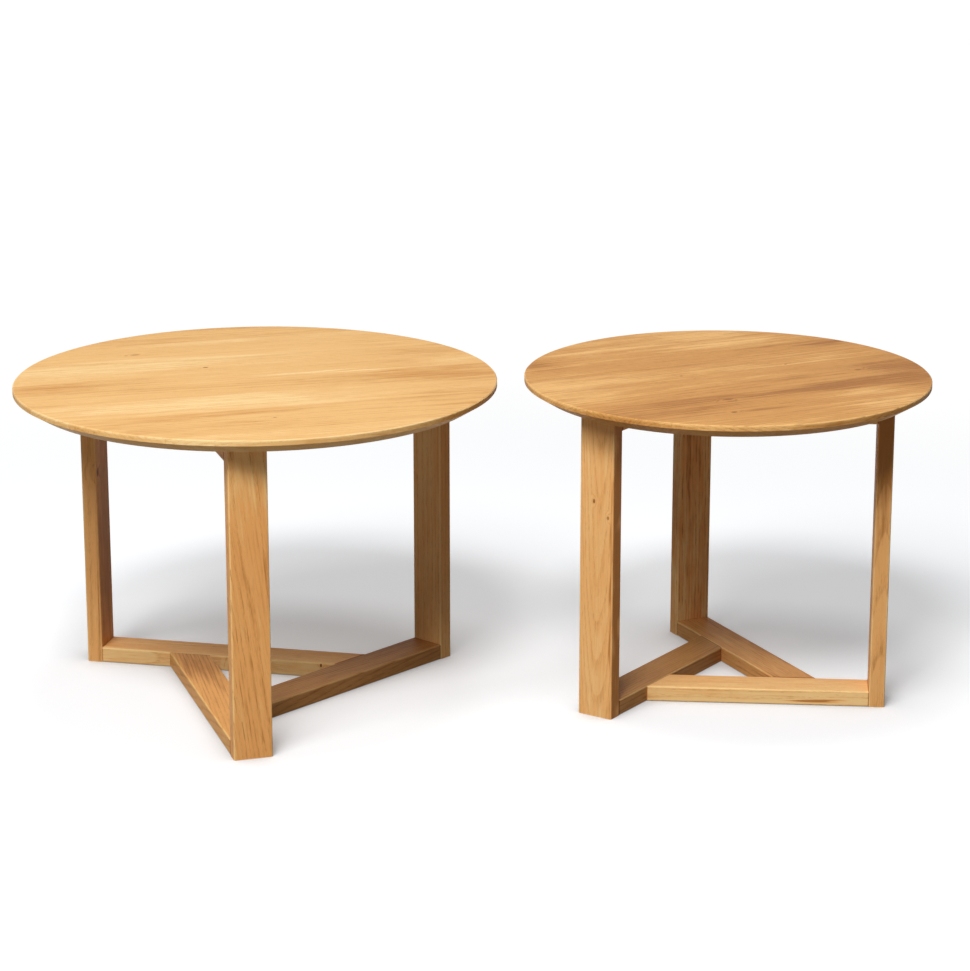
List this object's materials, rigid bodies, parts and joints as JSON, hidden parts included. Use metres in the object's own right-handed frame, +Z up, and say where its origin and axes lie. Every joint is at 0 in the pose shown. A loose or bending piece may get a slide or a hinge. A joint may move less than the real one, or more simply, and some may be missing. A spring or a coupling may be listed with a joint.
{
  "type": "pair of round side tables",
  "caption": "Large and small round solid-oak tables of one height, each on flat legs joined at floor and top by a pinwheel of rails around an open triangle.",
  "frame": {"origin": "on the floor, at the middle of the outline of the pair as it stands", "axes": "+X along the line through both table centres, from the large to the small table; +Z up; +Y to the back"},
  "size_m": [1.4279, 0.75, 0.505],
  "materials": {
    "large_oak": "oiled light oak",
    "small_oak": "oiled oak, a shade darker",
    "tenon_beech": "raw beech, glued in",
    "screw_steel": "zinc plated"
  },
  "bodies": {
    "large_table": {"large_heart_tenons": "tenon_beech", "large_leg_front": "large_oak", "large_leg_left": "large_oak", "large_leg_right": "large_oak", "large_leg_tenons": "tenon_beech", "large_lower_rail_front": "large_oak", "large_lower_rail_left": "large_oak", "large_lower_rail_right": "large_oak", "large_stave_1": "large_oak", "large_stave_2": "large_oak", "large_stave_3": "large_oak", "large_stave_4": "large_oak", "large_stave_5": "large_oak", "large_stave_6": "large_oak", "large_stave_7": "large_oak", "large_stave_8": "large_oak", "large_top_screws": "screw_steel", "large_upper_rail_front": "large_oak", "large_upper_rail_left": "large_oak", "large_upper_rail_right": "large_oak"},
    "small_table": {"small_heart_tenons": "tenon_beech", "small_leg_back": "small_oak", "small_leg_left": "small_oak", "small_leg_right": "small_oak", "small_leg_tenons": "tenon_beech", "small_lower_rail_back": "small_oak", "small_lower_rail_left": "small_oak", "small_lower_rail_right": "small_oak", "small_stave_1": "small_oak", "small_stave_2": "small_oak", "small_stave_3": "small_oak", "small_stave_4": "small_oak", "small_stave_5": "small_oak", "small_stave_6": "small_oak", "small_stave_7": "small_oak", "small_stave_8": "small_oak", "small_top_screws": "screw_steel", "small_upper_rail_back": "small_oak", "small_upper_rail_left": "small_oak", "small_upper_rail_right": "small_oak"}
  },
  "joints": [
    {"name": "small_table_slide", "type": "slide", "parent": "large_table", "child": "small_table", "axis": [1, 0, 0], "range_m": [-0.042, 0.3]}
  ]
}
